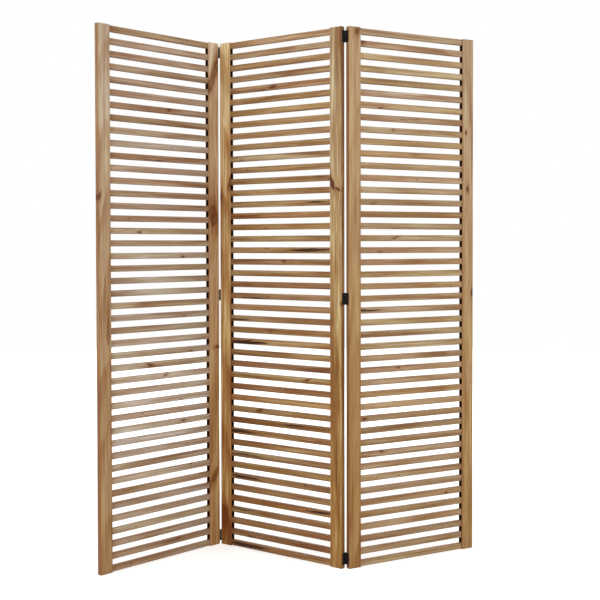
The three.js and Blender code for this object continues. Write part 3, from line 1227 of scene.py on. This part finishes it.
def screwMesh():
    # head face on z = 0, facing +Z; a cross recess, a countersunk underside and a pointed shank
    s = screw
    half, reach, sides = s["slotHalf"], s["slotReach"], s["sides"]
    cross = []
    for c, n in ((1, 0), (0, 1), (-1, 0), (0, -1)):
        cross += [(x * c - y * n, x * n + y * c) for x, y in ((half, half), (half, reach), (-half, reach))]
    form = bmesh.new()
    rim, mouth = newRing(form, circle(s["headRadius"], sides), 0), newRing(form, cross, 0)
    floor = newRing(form, [(x * s["slotTaper"], y * s["slotTaper"]) for x, y in cross], -s["slotDepth"])
    edges = [form.edges.new(pair) for loop in (rim, mouth) for pair in zip(loop, loop[1:] + loop[:1])]
    bmesh.ops.triangle_fill(form, use_beauty=True, use_dissolve=False, edges=edges)
    bridge(form, [mouth, floor])
    form.faces.new(floor)
    profile = [(s["neckRadius"], -s["headDepth"])]
    for turn in range(s["threadTurns"]):
        share = turn / s["threadTurns"]
        core = s["neckRadius"] * (s["coreShare"][0] - s["coreShare"][1] * share ** 3)
        z = -s["headDepth"] - s["shankLength"] * (share + s["threadStart"])
        profile += [(core, z), (core * s["threadHeight"], z - s["shankLength"] * s["threadRise"])]
    profile.append((0, -s["headDepth"] - s["shankLength"]))
    rings = [rim] + [newRing(form, circle(radius, sides), z) for radius, z in profile]
    bridge(form, rings[::-1])
    bmesh.ops.recalc_face_normals(form, faces=form.faces)
    return meshOf(form, "screwPattern")


def buildScrewTree():
    tree, value, result = newGroup(
        "screwRow",
        "GeometryNodeTree",
        {"Geometry": ["Geometry"], "Object": ["Screw"], "Int": ["Seed"], "Material": ["Steel"]},
        {"Geometry": ["Geometry"]},
    )
    pattern = feed("GeometryNodeObjectInfo", {"Object": value["Screw"]})["Geometry"]
    facing = addNode(tree, "GeometryNodeInputNamedAttribute", {"Name": "facing"}, data_type="FLOAT_VECTOR")[0]
    aim = feed("FunctionNodeAlignRotationToVector", {"Vector": facing}, axis="Z")[0]
    spin = join(Z=randomValue("FLOAT", 0.0, 2 * math.pi, value["Seed"]))
    turn = feed("FunctionNodeRotateRotation", {0: aim, 1: spin}, rotation_space="LOCAL")[0]
    finishTree(value["Geometry"], pattern, turn, value["Steel"], result)
    return tree


screwTree = buildScrewTree()
screwPattern = linked("screwPattern", screwMesh())
for index, (panel, spots) in enumerate(screwSpots.items()):
    points = bpy.data.meshes.new(panel + "_screw_spots")
    points.from_pydata([spot for spot, _ in spots], [], [])
    storeValues(points, "facing", [tuple(direction) for _, direction in spots])
    values = {"Screw": screwPattern, "Seed": screw["seed"] + index, "Steel": hingeSteel}
    mesh = growMesh(panel + "_hinge_screws", screwTree, values, points)
    smooth(mesh, "steel")
    newPiece(panel + "_hinge_screws", mesh, panel, "hinge_steel")
bpy.data.objects.remove(screwPattern)
print("screws built")


# stage, light and camera

studio = {
    "floorSize": 14.0,
    "floorColor": "#dcdad6",
    "floorRoughness": 0.9,
    "floorSpecular": 0.1,
    "floorLift": (0.6, 1.0),  # what the camera sees on top of the lit floor, near the screen and far off
    "liftReach": (1.0, 3.2),
    "worldLight": 0.42,
    "lamps": {  # place, size, power in watts
        "frontKey": ((-0.5, -4.4, 2.5), 2.4, 95.0),
        "rightFill": ((3.6, -1.6, 2.4), 2.2, 46.0),
        "leftFill": ((-3.6, -1.8, 2.4), 2.2, 46.0),
        "backFill": ((0.3, 3.6, 2.4), 2.2, 60.0),
    },
    "aim": (0.0, 0.0, 0.95),
}
view = {
    "place": (-0.0228, -3.4357, 1.0499),
    "pitchDown": 1.301,
    "roll": 0.124,
    "focalPixels": 1031.1,
    "centrePixel": (285.4, 268.3),  # where the optical axis meets the photograph
    "photoPixels": 600,
}
white = (1, 1, 1, 1)


def cameraSees(tree):
    path = tree.nodes.new("ShaderNodeLightPath").outputs
    seen = calc("MAXIMUM", path["Is Camera Ray"], path["Is Glossy Ray"])
    return calc("MAXIMUM", seen, path["Is Transmission Ray"])


def makeFloor():
    half = studio["floorSize"] / 2
    mesh = bpy.data.meshes.new("studioFloor")
    corners = [(-half, -half, 0), (half, -half, 0), (half, half, 0), (-half, half, 0)]
    mesh.from_pydata(corners, [], [(0, 1, 2, 3)])
    material, tree, surface = newMaterial("studioFloor")
    place = addNode(tree, "ShaderNodeTexCoord")["Object"]
    away = feed("ShaderNodeVectorMath", {0: place}, operation="LENGTH")["Value"]
    lift = ramp(away, *studio["liftReach"], *studio["floorLift"])
    wire({
        "Base Color": tint(studio["floorColor"]),
        "Roughness": studio["floorRoughness"],
        "Specular IOR Level": studio["floorSpecular"],
        "Emission Color": white,
        "Emission Strength": multiply(cameraSees(tree), lift),
    }, surface)
    mesh.materials.append(material)
    linked("studioFloor", mesh)


def makeWorld():
    world = bpy.data.worlds.new("studio")
    world.use_nodes = True
    tree = world.node_tree
    light = studio["worldLight"]
    strength = calc("MULTIPLY_ADD", cameraSees(tree), 1 - light, light)
    wire({"Color": white, "Strength": strength}, tree.nodes["Background"].inputs)
    bpy.context.scene.world = world


def makeLamps():
    for name, (place, size, power) in studio["lamps"].items():
        data = bpy.data.lights.new(name, "AREA")
        data.shape = "DISK"
        data.size = size
        data.energy = power
        aim = Vector(studio["aim"]) - Vector(place)
        turn = aim.to_track_quat("-Z", "Y").to_matrix().to_4x4()
        linked(name, data).matrix_world = Matrix.Translation(place) @ turn


def makeCamera():
    data = bpy.data.cameras.new("photoView")
    pixels = view["photoPixels"]
    data.sensor_fit = "HORIZONTAL"
    data.sensor_width = 36.0
    data.lens = view["focalPixels"] / pixels * data.sensor_width
    data.shift_x = (pixels / 2 - view["centrePixel"][0]) / pixels
    data.shift_y = (view["centrePixel"][1] - pixels / 2) / pixels
    camera = linked("photoView", data)
    tilt = Matrix.Rotation(math.radians(90 - view["pitchDown"]), 4, "X")
    roll = Matrix.Rotation(math.radians(-view["roll"]), 4, "Z")
    camera.matrix_world = Matrix.Translation(view["place"]) @ tilt @ roll
    bpy.context.scene.camera = camera


makeFloor()
makeWorld()
makeLamps()
makeCamera()
bpy.context.scene.view_settings.view_transform = "Standard"
print("stage, light and camera set")

bpy.context.view_layer.update()
